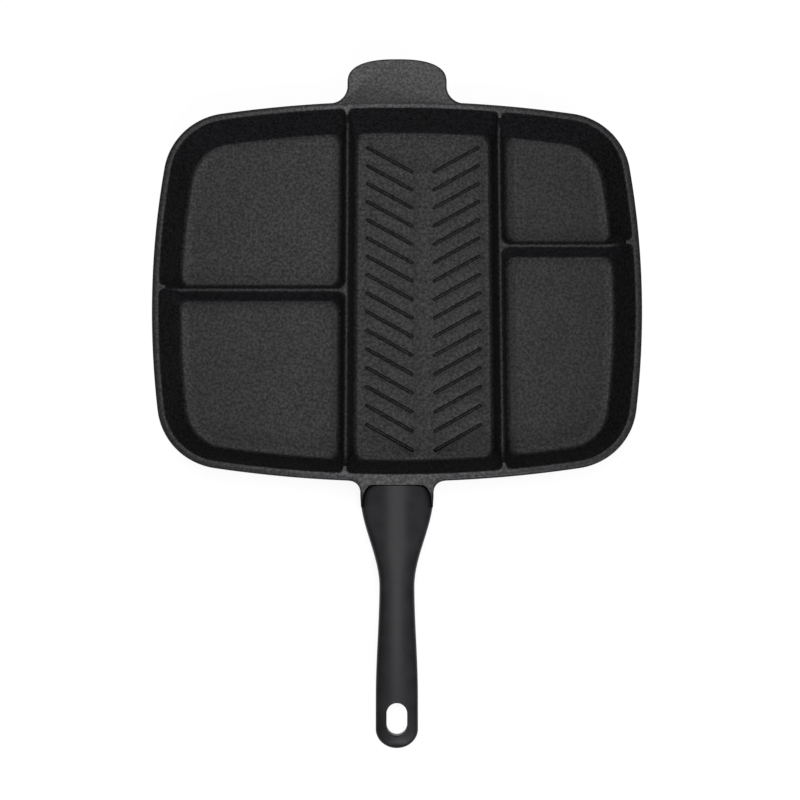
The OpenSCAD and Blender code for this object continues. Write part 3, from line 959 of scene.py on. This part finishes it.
@dataclass
class Casting:
    """The coated casting: shell, pockets, grill ribs, helper tab, bracket and tang.

    Each row of band_form belongs to the rim band's lower edge: share of the inset below it, and height from
    its foot. Each row of rib_form belongs to a rib's section: share of its half width, and of its height.
    """

    body: BodySizes = field(default_factory=BodySizes)
    left_divider: float = -39.6
    right_divider: float = 81.4
    left_cross: float = 0.0
    right_cross: float = 35.6
    band_hollow: float = 2.0
    band_form: tuple = ((0.3, -0.8), (0.06, -0.25), (0.0, 0.0), (0.0, 1.5))
    rib_rows: int = 16
    rib_pitch: float = 15.0
    rib_w: float = 3.0
    rib_h: float = 1.5
    rib_angle: float = 29.4
    rib_gap: float = 15.6
    rib_side_gap: float = 9.0
    rib_shift: float = 1.8
    rib_form: tuple = ((1.12, 0.0), (1.00, 0.03), (0.84, 0.17), (0.60, 0.46), (0.34, 0.76), (0.10, 1.0))
    tab_w: float = 79.0
    tab_l: float = 35.0
    tab_t: float = 5.0
    tab_step: float = 0.3
    tab_flare: float = 14.0
    tab_edge: float = 1.6
    tab_round: float = 0.55
    tab_fullness: float = 0.8
    tab_root: float = 0.6

    def pockets(self) -> list[Pocket]:
        """The five pockets."""
        left, right = self.left_divider, self.right_divider
        return [
            Pocket("rear_left", (left, None, None, self.left_cross)),
            Pocket("front_left", (left, self.left_cross, None, None)),
            Pocket("grill", (right, None, left, None)),
            Pocket("rear_right", (None, None, right, self.right_cross)),
            Pocket("front_right", (None, self.right_cross, right, None))]

    def outer_rings(self) -> Array:
        """The outer skin from the base's flat to the rim's flat.

        It goes round the base's edge, up the wall and over the rim band. Each ring is the body's outline
        moved in by an inset.

        Returns:
            Points shaped (rows, columns, 3).
        """
        b = self.body
        turn = math.atan(b.wall_slope)
        top = b.rim - b.wall
        centre = top + b.wall_slope * (b.height - b.base_round) + b.base_round / math.cos(turn)
        bend = np.linspace(math.pi / 2, turn, 9)
        rows = [(centre + 2 * HOLD, 0.0)]
        rows += list(zip(centre - b.base_round * np.cos(bend), b.base_round * (1 - np.sin(bend))))
        band = b.height - b.rim_band
        foot = band - self.band_hollow
        under = top + b.wall_slope * (b.height - band + self.band_hollow)
        rows += list(zip(np.linspace(rows[-1][0], under, 5)[1:], np.linspace(rows[-1][1], foot, 5)[1:]))
        rows += [(under * share, band + up) for share, up in self.band_form]
        rows += [(b.crown_w * (1 - math.cos(t)), b.height - b.crown_h * (1 - math.sin(t)))
                 for t in np.radians([0, 15, 30, 45, 60, 75, 90])]
        rows.append((b.crown_w + HOLD, b.height))
        inset, z = (np.array(v)[:, None] for v in zip(*rows))
        ring = Interior(b, Pocket("outline", (None, None, None, None)), step=5.0)
        shape = (len(rows), len(ring.kind))
        flat_points, away = ring.plan(np.full(shape, b.height))
        points = flat_points + away * (b.rim - inset)[..., None]
        return np.concatenate([points, np.broadcast_to(z, shape)[..., None]], axis=-1)

    def rib_rings(self) -> list[Array]:
        """Rings of every grill rib, foot to crown: a stadium in plan whose sides rise and round over.

        Returns:
            For each rib, points shaped (rows, columns, 3).
        """
        b = self.body
        middle = (self.left_divider + self.right_divider) / 2
        span = (self.right_divider - self.left_divider - b.divider - 2 * b.divider_lean - self.rib_gap
                - 2 * self.rib_side_gap)
        slant = math.radians(self.rib_angle)
        half = span / 2 / math.cos(slant) / 2 - self.rib_w / 2
        steps = 9
        turn = np.concatenate([np.linspace(-90, 90, steps), np.linspace(90, 270, steps)])
        ends = np.repeat([half, -half], steps)
        rings = []
        for row in range(self.rib_rows):
            for side in (-1, 1):
                c, s = math.cos(side * slant), math.sin(side * slant)
                rows = []
                for wide, high in self.rib_form:
                    x = ends + self.rib_w / 2 * wide * np.cos(np.radians(turn))
                    y = self.rib_w / 2 * wide * np.sin(np.radians(turn))
                    rows.append(level_ring(
                        middle + side * (self.rib_gap / 2 + span / 4) + x * c - y * s,
                        (row - (self.rib_rows - 1) / 2) * self.rib_pitch - self.rib_shift + x * s + y * c,
                        b.floor + self.rib_h * high))
                rings.append(np.array(rows))
        return rings

    def shell(self) -> bpy.types.Object:
        """The body with its pockets, dividers and ribs as one closed surface."""
        shape = Shape()
        outer = self.outer_rings()
        first = shape.add_grid(outer, wrap=True)
        shape.add_cap(first, outer.shape[1], flip=True)
        holes = []
        for pocket in self.pockets():
            ribbed = pocket.name == "grill"
            surface = Interior(self.body, pocket).surface(apron=not ribbed)
            holes.append(surface[0])
            start = shape.add_grid(surface, wrap=True)
            if ribbed:
                ribs = self.rib_rings()
                shape.add_web(surface[-1], [r[0] for r in ribs])
                for rings in ribs:
                    ring_start = shape.add_grid(rings, wrap=True)
                    shape.add_cap(ring_start + (len(rings) - 1) * rings.shape[1], rings.shape[1])
            else:
                shape.add_cap(start + (len(surface) - 1) * surface.shape[1], surface.shape[1])
        shape.add_web(outer[-1], holes)
        return shape.mesh("pan_casting")

    def tab(self) -> bpy.types.Object:
        """The helper tab: its outline in plan, moved in along its rounded edges, from underside to top.

        Its top edge is a small round at the tab's end, and turns into the rim's crown along the flares.
        """
        b = self.body
        low = b.height - self.tab_step - self.tab_t
        round_l = self.tab_round * self.tab_l
        half, edge = self.tab_w / 2, self.tab_edge
        turns, share = flare_turns(17)
        start = b.rim_y(half + self.tab_flare)
        bend = np.radians(np.linspace(90, 0, 7))
        rows = [(1 - math.cos(t), edge * (1 - math.sin(t)), 0.0) for t in bend]
        rows = [(rows[0][0] + 0.05, 0.0, 0.0)] + rows
        rows += [(1 - math.cos(t), self.tab_t, 1 - math.sin(t)) for t in bend[::-1]]
        rows += [(1.05, self.tab_t, 0.0)]
        c, s = rounded(np.radians(np.linspace(0, 180, 61)), self.tab_fullness)
        rings = []
        for part, z, sunk in rows:
            upper = z == self.tab_t
            inset = part * (edge + (b.crown_w - edge) * share * upper)
            drop = sunk * (edge + (b.crown_h - edge) * share * upper)
            flare_x = half + self.tab_flare + (self.tab_flare + inset) * np.cos(turns)
            flare_y = start + self.tab_flare + (self.tab_flare + inset) * np.sin(turns)
            end_x = (half - part * edge) * c
            end_y = b.half_l + self.tab_l - round_l + (round_l - part * edge) * s
            root = start - b.crown_w - self.tab_root
            x = np.concatenate([[flare_x[0]], flare_x, end_x, -flare_x[::-1], [-flare_x[0]]])
            y = np.concatenate([[root], flare_y, end_y, flare_y[::-1], [root]])
            down = np.concatenate([drop[:1], drop, np.full(c.shape, sunk * edge), drop[::-1], drop[:1]])
            rings.append(np.stack([x, y, low + z - down], axis=-1))
        return loft("tab_work", rings)

    def build(self, grip: Grip, bracket: Bracket, finish: CoatedFinish) -> bpy.types.Object:
        """Joins shell, tab, bracket and tang into the one casting, and dresses it.

        Args:
            grip: the grip that the bracket holds.
            bracket: the bracket.
            finish: the coating.

        Returns:
            The finished piece.
        """
        pan = self.shell()
        combine(pan, self.tab(), Act.JOIN)
        combine(pan, bracket.build(grip), Act.JOIN)
        soften(pan, PIECE_SHARP)
        dress(pan, finish.make())
        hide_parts("pan_body")
        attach(pan, BODY)
        report(pan)
        return pan


@dataclass
class Bracket:
    """The cast bracket that holds the grip's nose, and the tang inside the grip.

    overlap is how far its flares run into the body past the rim's crown, and seat_gap is the room that its
    seat leaves round the grip.
    """

    body: BodySizes = field(default_factory=BodySizes)
    width: float = 55.6
    height: float = 23.0
    flare: float = 9.0
    flare_height: float = 11.0
    wing: float = 17.0
    wing_taper: float = 0.5
    wing_drop: float = 3.6
    front: float = -152.7
    tip_height: float = 23.25
    edge: float = 0.8
    overlap: float = 0.7
    seat_gap: float = 0.2
    tang_w: float = 20.0
    tang_l: float = 58.0
    tang_low: float = 28.0
    tang_t: float = 6.0
    tang_root: float = 3.0
    screw_hole: float = 5.1
    screw_places: tuple = (-172.7, -196.7)

    def side_ring(self, inset: float) -> Array:
        """The bracket seen from the side.

        It is level on top, and the wings then sink to the grip's flanks. Its underside is a quarter ellipse
        up to the wings' tips, and its inner end follows the middle of the leaning wall.

        Args:
            inset: how far the outline is moved in.

        Returns:
            Places y and z, shaped (n, 2).
        """
        b = self.body
        low, high = b.height - self.height + inset, b.height - inset
        middle = (b.rim + b.rim - b.wall) / 2
        t = np.radians(np.linspace(0, 90, 15))
        under_y = self.front - (self.wing - inset) * np.cos(t)
        under_z = self.tip_height - (self.tip_height - low) * np.sin(t)
        inner = [-b.half_l + middle + b.wall_slope * (b.height - z) for z in (low, high)]
        u = np.linspace(0, 1, 9)
        y = np.concatenate([under_y, inner, self.front - (self.wing - inset) * u])
        z = np.concatenate([under_z, [low, high], high - self.wing_drop * ease(u)])
        return np.stack([y, z], axis=-1)

    def block(self) -> bpy.types.Object:
        """The solid bracket: its side view carried across, with small rounds along both side edges."""
        turns = np.radians([0, 30, 60, 90])
        half = self.width / 2
        across = [(-half + self.edge * (1 - math.sin(t)), self.edge * (1 - math.cos(t))) for t in turns[::-1]]
        across += [(-x, inset) for x, inset in across[::-1]]
        rings = []
        for x, inset in across:
            ring = self.side_ring(inset)
            narrow = np.clip((self.front - self.wing / 2 - ring[:, 0]) / (self.wing / 2), 0, 1)
            wide = x * (1 - self.wing_taper / half * narrow)
            rings.append(np.stack([wide, ring[:, 0], ring[:, 1]], axis=-1))
        return loft("bracket_work", rings)

    def flare_solid(self, side: int) -> bpy.types.Object:
        """The web that rounds one side of the bracket into the rim: a concave quarter circle in plan.

        Args:
            side: -1 for the left, 1 for the right.

        Returns:
            The new object.
        """
        b = self.body
        low, high = b.height - self.flare_height, b.height
        x0 = self.width / 2
        turns, share = flare_turns(13)
        start = b.rim_y(x0 + self.flare)
        crown_w, crown_h = (self.edge + (v - self.edge) * share for v in (b.crown_w, b.crown_h))
        rows = [(self.edge * (1 - math.cos(t)) + 0 * share, low + self.edge * (1 - math.sin(t)) + 0 * share)
                for t in np.radians([90, 45, 0])]
        rows += [(crown_w * (1 - math.cos(t)), high - crown_h * (1 - math.sin(t)))
                 for t in np.radians([0, 18, 36, 54, 72, 90])]
        inner = start - b.crown_w - self.overlap
        inside = x0 - b.crown_w - 1
        rings = []
        for inset, z in rows:
            x = x0 + self.flare + (self.flare + inset) * np.cos(turns)
            y = start + self.flare + (self.flare + inset) * np.sin(turns)
            x = np.concatenate([[inside, x0 + self.flare], x, [inside]])
            y = np.concatenate([[inner, inner], y, [start + self.flare]])
            level = np.concatenate([z[:1], z[:1], z, z[-1:]])
            rings.append(np.stack([side * x, -y, level], axis=-1))
        return loft("flare_work", rings, flip=side > 0)

    def tang(self) -> bpy.types.Object:
        """The flat tang that the screws hold the grip to, with its tip's corners cut."""
        half, tip, root = self.tang_w / 2, self.front - self.tang_l, -self.body.half_l + self.tang_root
        x = np.array([-half, -half, -half + 2, -half + 3, half - 3, half - 2, half, half])
        y = np.array([root, self.front, tip + 1, tip, tip, tip + 1, self.front, root])
        return loft("tang_work", [level_ring(x, y, z) for z in (self.tang_low, self.tang_low + self.tang_t)])

    def holes(self) -> list[bpy.types.Object]:
        """The tools that drill the tang."""
        return [rod(self.screw_hole / 2, place, self.tang_low - 2, self.tang_low + self.tang_t + 2)
                for place in self.screw_places]

    def build(self, grip: Grip) -> bpy.types.Object:
        """The bracket with its flares, the seat that it leaves for the grip, and its drilled tang.

        Args:
            grip: the grip that it holds.

        Returns:
            The new object.
        """
        holder = self.block()
        for side in (-1, 1):
            combine(holder, self.flare_solid(side), Act.JOIN)
        for tool in grip.seat_tools(self.seat_gap):
            combine(holder, tool, Act.CUT)
        tang = self.tang()
        for tool in self.holes():
            combine(tang, tool, Act.CUT)
        combine(holder, tang, Act.JOIN)
        return holder


# The grip

@dataclass
class Grip:
    """The moulded grip: nose in the bracket, shoulders, waist, and an end with a hang slot.

    Sizes that end in _at, _from or _run are shares of its length. Those that end in _form are powers of its
    rounded sections.
    """

    front: float = -152.7
    length: float = 191.5
    nose: float = 17.0
    nose_length: float = 14.0
    nose_round: float = 0.9
    front_w: float = 37.0
    shoulder_w: float = 52.4
    shoulder_over: float = 1.6
    shoulder_from: float = 0.04
    waist_w: float = 26.4
    waist_at: float = 0.395
    end_w: float = 31.2
    end_at: float = 0.8
    end_round: float = 13.5
    end_share: float = 0.004
    end_form: float = 0.6
    front_h: float = 19.0
    end_h: float = 13.0
    level: float = 0.991
    middle: float = 28.0
    rise: float = 11.0
    side_form: float = 0.95
    belly_form: float = 0.85
    back_form: float = 2.2
    ridge: float = 13.0
    flank: float = 11.0
    crown: float = 41.0
    arc_from: float = 0.24
    arc_run: float = 0.16
    sharpness: float = 0.92
    slot_w: float = 15.2
    slot_l: float = 23.0
    slot_end: float = 9.3
    slot_edge: float = 1.3
    slot_over: float = 0.2
    screw_bore: float = 5.3
    head_bore: float = 9.3
    head_seat: float = 25.2
    socket_gap: float = 0.2
    columns: int = 96

    def half_w(self, s: Array) -> Array:
        """Half width: a quarter ellipse over the nose, then two smooth steps.

        Args:
            s: distances from the front.

        Returns:
            The half width at each.
        """
        shoulder_from, waist_at, end_at = (
            share * self.length for share in (self.shoulder_from, self.waist_at, self.end_at))
        quarter = np.sqrt(1 - (1 - np.clip(s / self.nose_length, 0, 1)) ** 2)
        nose = (self.front_w + (self.shoulder_w - self.front_w) * quarter) / 2
        wide = self.shoulder_w / 2 + self.shoulder_over
        shoulders = wide - (wide - self.waist_w / 2) * ease((s - shoulder_from) / (waist_at - shoulder_from))
        tail = self.waist_w / 2 + (self.end_w - self.waist_w) / 2 * ease((s - waist_at) / (end_at - waist_at))
        return np.where(s < self.nose, nose, np.where(s < waist_at, shoulders, tail))

    def half_h(self, s: Array) -> Array:
        """Half height at the distance s from the front."""
        return self.level * (self.front_h + (self.end_h - self.front_h) * ease(s / self.length)) / 2

    def mid_z(self, s: Array) -> Array:
        """Height of the middle line, which rises in half a wave."""
        return self.middle + self.rise * (1 - np.cos(np.pi * s / self.length)) / 2

    def taper(self, s: Array) -> Array:
        """Share of the full width left in the rounded end."""
        u = np.maximum(0, (s - self.length + self.end_round) / self.end_round)
        return np.sqrt(np.maximum(self.end_share, 1 - u * u))

    def back_drop(self, s: Array, x: Array) -> Array:
        """How far the back lies below its ridge.

        Over the nose and the shoulders it is a roof: two plane flanks whose slope comes in smoothly over the
        ridge. From the waist on it is a plain arc.

        Args:
            s: distances from the front, shaped (rows,).
            x: distances from the middle line, shaped (rows, columns).

        Returns:
            The drop at each, shaped (rows, columns).
        """
        slope = math.tan(math.radians(self.flank))
        u = np.minimum(x / self.ridge, 1)
        roof = slope * (self.ridge * (u ** 3 - u ** 4 / 2) + np.maximum(x - self.ridge, 0))
        arc = x * x / (2 * self.crown)
        share = ease((s / self.length - self.arc_from) / self.arc_run)
        return roof + (arc - roof) * share[:, None]

    def rings(self, s: Array, out: Array) -> Array:
        """Closed sections of the grip.

        The lower half is a form a little fuller than an ellipse. The upper half is the back, which turns down
        into the sides over a narrow edge.

        Args:
            s: distances from the front.
            out: how much larger than the grip each section is.

        Returns:
            Points shaped (len(s), columns, 3).
        """
        turn = (np.arange(self.columns) + 0.5) * 2 * np.pi / self.columns
        w = ((self.half_w(s) + out) * self.taper(s))[:, None]
        h = ((self.half_h(s) + out) * self.taper(s) ** self.end_form)[:, None]
        across = np.abs(np.cos(turn)) ** self.side_form
        x = w * np.sign(np.cos(turn)) * across
        edge = (1 - across ** (self.sharpness * w)) ** (1 / self.back_form)
        back = (h - self.back_drop(s, w * across) * h / self.half_h(s)[:, None]) * edge
        belly = -h * np.abs(np.sin(turn)) ** self.belly_form
        z = self.mid_z(s)[:, None] + np.where(turn < np.pi, back, belly)
        y = np.broadcast_to((self.front - s)[:, None], x.shape)
        return np.stack([x, y, z], axis=-1)

    def nose_rows(self, steps: int) -> tuple[Array, Array]:
        """Rows of the rounded nose: distances from the front, and how much larger each is (below nothing)."""
        turns = np.radians(np.linspace(0, 90, steps))
        return self.nose_round * (1 - np.cos(turns)), -self.nose_round * (1 - np.sin(turns))

    def stations(self) -> tuple[Array, Array]:
        """Distances of the sections from the front, and how much larger each is, for the rounded nose."""
        nose_s, nose_out = self.nose_rows(7)
        body_s = np.concatenate([np.linspace(2.0, self.nose, 12),
                                 np.linspace(self.nose + 1.5, self.length - self.end_round, 90)])
        end_s = self.length - self.end_round * (1 - np.sin(np.radians(np.linspace(5, 90, 22))))
        s = np.concatenate([[0.0], nose_s, body_s, end_s])
        out = np.concatenate([[-self.nose_round - 0.3], nose_out, np.zeros(len(body_s) + len(end_s))])
        return s, out

    def seat_tools(self, gap: float) -> list[bpy.types.Object]:
        """Tools that cut the bracket's seat: the grip's own form, and its nose carried straight up.

        Args:
            gap: how much larger than the grip they are.

        Returns:
            The new objects.
        """
        s, out = self.stations()
        form = loft("seat_form_work", self.rings(s, out + gap))
        round_s, round_out = self.nose_rows(5)
        rest = np.linspace(2.0, self.nose, 16)
        nose = np.concatenate([round_s, rest])
        half = self.half_w(nose) + np.concatenate([round_out, np.zeros(len(rest))]) + gap
        x = np.concatenate([-half, [-half[-1]], [half[-1]], half[::-1]])
        behind = 2 * self.nose
        y = self.front - np.concatenate([nose - gap, [behind], [behind], (nose - gap)[::-1]])
        above = self.middle + 20
        return [form, loft("seat_block_work", [level_ring(x, y, z) for z in (self.middle, above)])]

    def slot_tool(self) -> bpy.types.Object:
        """The hang slot with a rounded lip: a stadium carried through the grip's end, wider at both faces.

        The lip follows the faces, which are level enough across the slot for one height on each side.
        """
        near = self.front - self.length + self.slot_end + self.slot_w / 2
        run = self.slot_l - self.slot_w
        steps = 25
        t = np.radians(np.concatenate([np.linspace(180, 360, steps), np.linspace(0, 180, steps)]))
        centre_y = np.repeat([near, near + run], steps)
        s = np.array([self.length - (near - (self.front - self.length)) - run / 2])
        high = float(self.mid_z(s)[0] + self.half_h(s)[0])
        low = float(self.mid_z(s)[0] - self.half_h(s)[0])
        lip, over, past = self.slot_edge, self.slot_over, 6
        wide, deep = ([lip * (1 - turned(a)) for a in np.radians([0, 22, 45, 67, 90])]
                      for turned in (math.sin, math.cos))
        rows = [(lip * 1.6, low - past)]
        rows += [(w, low + d - over) for w, d in zip(wide, deep)]
        rows += [(w, high - d + over) for w, d in zip(wide[::-1], deep[::-1])]
        rows += [(lip * 1.6, high + past)]
        rings = []
        for out, z in rows:
            radius = self.slot_w / 2 + out
            rings.append(level_ring(radius * np.cos(t), centre_y + radius * np.sin(t), z))
        return loft("slot_work", rings)

    def socket_tools(self, bracket: Bracket) -> list[bpy.types.Object]:
        """Tools for the tang's socket and the two screws' holes and recesses.

        Args:
            bracket: the bracket whose tang and screws they make room for.

        Returns:
            The new objects.
        """
        gap = self.socket_gap
        half, tip, mouth = bracket.tang_w / 2 + gap, bracket.front - bracket.tang_l - gap, self.front + 2
        x, y = np.array([-half, half, half, -half]), np.array([tip, tip, mouth, mouth])
        heights = (bracket.tang_low - gap, bracket.tang_low + bracket.tang_t + gap)
        tools = [loft("socket_work", [level_ring(x, y, z) for z in heights])]
        for place in bracket.screw_places:
            tools.append(rod(self.screw_bore / 2, place, 15, bracket.tang_low, 32))
            tools.append(rod(self.head_bore / 2, place, 6, self.head_seat, 48))
        return tools

    def build(self, bracket: Bracket, finish: GripFinish) -> bpy.types.Object:
        """Makes the grip's form, cuts its slot, socket and screw holes, and dresses it.

        Args:
            bracket: the bracket that holds it.
            finish: its plastic.

        Returns:
            The finished piece.
        """
        s, out = self.stations()
        body = loft("pan_grip", self.rings(s, out))
        for tool in [self.slot_tool()] + self.socket_tools(bracket):
            combine(body, tool, Act.CUT)
        soften(body, PIECE_SHARP)
        dress(body, finish.make())
        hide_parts("grip")
        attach(body, BODY)
        report(body)
        return body


# The studio

@dataclass(frozen=True)
class Lamp:
    """A rectangular soft light that faces the pan: its place, its width and depth, its watts and its tint."""

    name: str
    place: tuple[float, float, float]
    size: tuple[float, float]
    power: float
    tint: tuple[float, float, float] = (1.0, 1.0, 1.0)
    target: tuple[float, float, float] = (0, -0.05, 0.02)

    def build(self) -> None:
        """Adds the light."""
        data = bpy.data.lights.new(self.name, "AREA")
        data.shape = "RECTANGLE"
        data.size, data.size_y = self.size
        data.energy = self.power
        data.color = self.tint
        obj = bpy.data.objects.new(self.name, data)
        obj.location = self.place
        obj.rotation_euler = (Vector(self.target) - Vector(self.place)).to_track_quat("-Z", "Y").to_euler()
        bpy.context.scene.collection.objects.link(obj)


@dataclass(frozen=True)
class Studio:
    """White table, a big soft light overhead with two weaker ones, and the photograph's camera.

    The floor's own white is floor_share of what the camera and reflections see of it, and the paper's lit
    colour is the rest, so that it keeps the pan's shadow.
    """

    camera_place: tuple = (0.00232, -0.1944, 1.1126)
    camera_tilt: float = 9.632
    lens: float = 63.36
    sensor: float = 36.0
    shift_y: float = -0.1226
    fill: float = 0.176
    floor_share: float = 0.86
    floor_reach: float = 4.0
    paper: float = 0.97
    lamps: tuple[Lamp, ...] = (
        Lamp("overhead", (-0.06, 0.40, 1.9), (0.5, 1.6), 33.0),
        Lamp("side", (0.9, -0.9, 1.1), (0.5, 0.5), 5.0),
        Lamp("front", (0.20, -1.35, 1.5), (0.9, 0.5), 22.0, (0.93, 0.92, 1.0)))

    def camera(self) -> None:
        """Places the camera above the pan, tipped back a little as in the photograph."""
        data = bpy.data.cameras.new("camera")
        data.lens = self.lens
        data.sensor_width = self.sensor
        data.shift_y = self.shift_y
        obj = bpy.data.objects.new("camera", data)
        obj.location = self.camera_place
        obj.rotation_euler = (math.radians(self.camera_tilt), 0, 0)
        bpy.context.scene.collection.objects.link(obj)
        bpy.context.scene.camera = obj

    def backdrop(self) -> None:
        """A pale floor that reads white to the camera and in reflections, and keeps a faint shadow."""
        data = bpy.data.meshes.new("floor")
        reach = self.floor_reach
        corners = [(-reach, -reach, 0), (reach, -reach, 0), (reach, reach, 0), (-reach, reach, 0)]
        data.from_pydata(corners, [], [(0, 1, 2, 3)])
        floor = bpy.data.objects.new("floor", data)
        bpy.context.scene.collection.objects.link(floor)
        s = Sheet("floor_paper")
        camera, glossy, passed = (s.add("ShaderNodeLightPath", out=f"Is {kind} Ray")
                                  for kind in ("Camera", "Glossy", "Transmission"))
        seen = s.add("ShaderNodeClamp", values={"Value": camera + glossy + passed})
        paper = s.add("ShaderNodeBsdfDiffuse", values={"Color": grey(self.paper)})
        glow = s.add("ShaderNodeEmission", values={"Color": grey(1.0), "Strength": 1.0})
        skin = s.add("ShaderNodeMixShader", values={0: seen * self.floor_share, 1: paper, 2: glow})
        data.materials.append(s.finish(skin))

    def world(self) -> None:
        """Even fill from all round, white where the camera sees it."""
        world = bpy.data.worlds.new("studio")
        world.use_nodes = True
        tree = world.node_tree
        tree.nodes.clear()
        output = tree.nodes.new("ShaderNodeOutputWorld")
        background = tree.nodes.new("ShaderNodeBackground")
        background.inputs["Color"].default_value = grey(1.0)
        rays = tree.nodes.new("ShaderNodeLightPath")
        share = tree.nodes.new("ShaderNodeMix")
        share.inputs["A"].default_value = self.fill
        share.inputs["B"].default_value = 1.0
        tree.links.new(rays.outputs["Is Camera Ray"], share.inputs["Factor"])
        tree.links.new(share.outputs["Result"], background.inputs["Strength"])
        tree.links.new(background.outputs[0], output.inputs[0])
        bpy.context.scene.world = world

    def build(self) -> None:
        """Sets up camera, floor, world and lights."""
        self.camera()
        self.backdrop()
        self.world()
        for lamp in self.lamps:
            lamp.build()
        bpy.context.scene.view_settings.view_transform = "Standard"


# Putting it together

def main() -> None:
    """Builds the studio, the casting, the grip and the screws' finish."""
    logging.basicConfig(level=logging.INFO, format="%(name)s: %(message)s")
    Studio().build()
    grip, bracket = Grip(), Bracket()
    Casting().build(grip, bracket, CoatedFinish())
    grip.build(bracket, GripFinish())
    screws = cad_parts["grip_screws"]
    dress(screws, ScrewFinish().make())
    LOG.info("%s: the model's own piece, in its finish", screws.name)


if __name__ == "__main__":
    main()
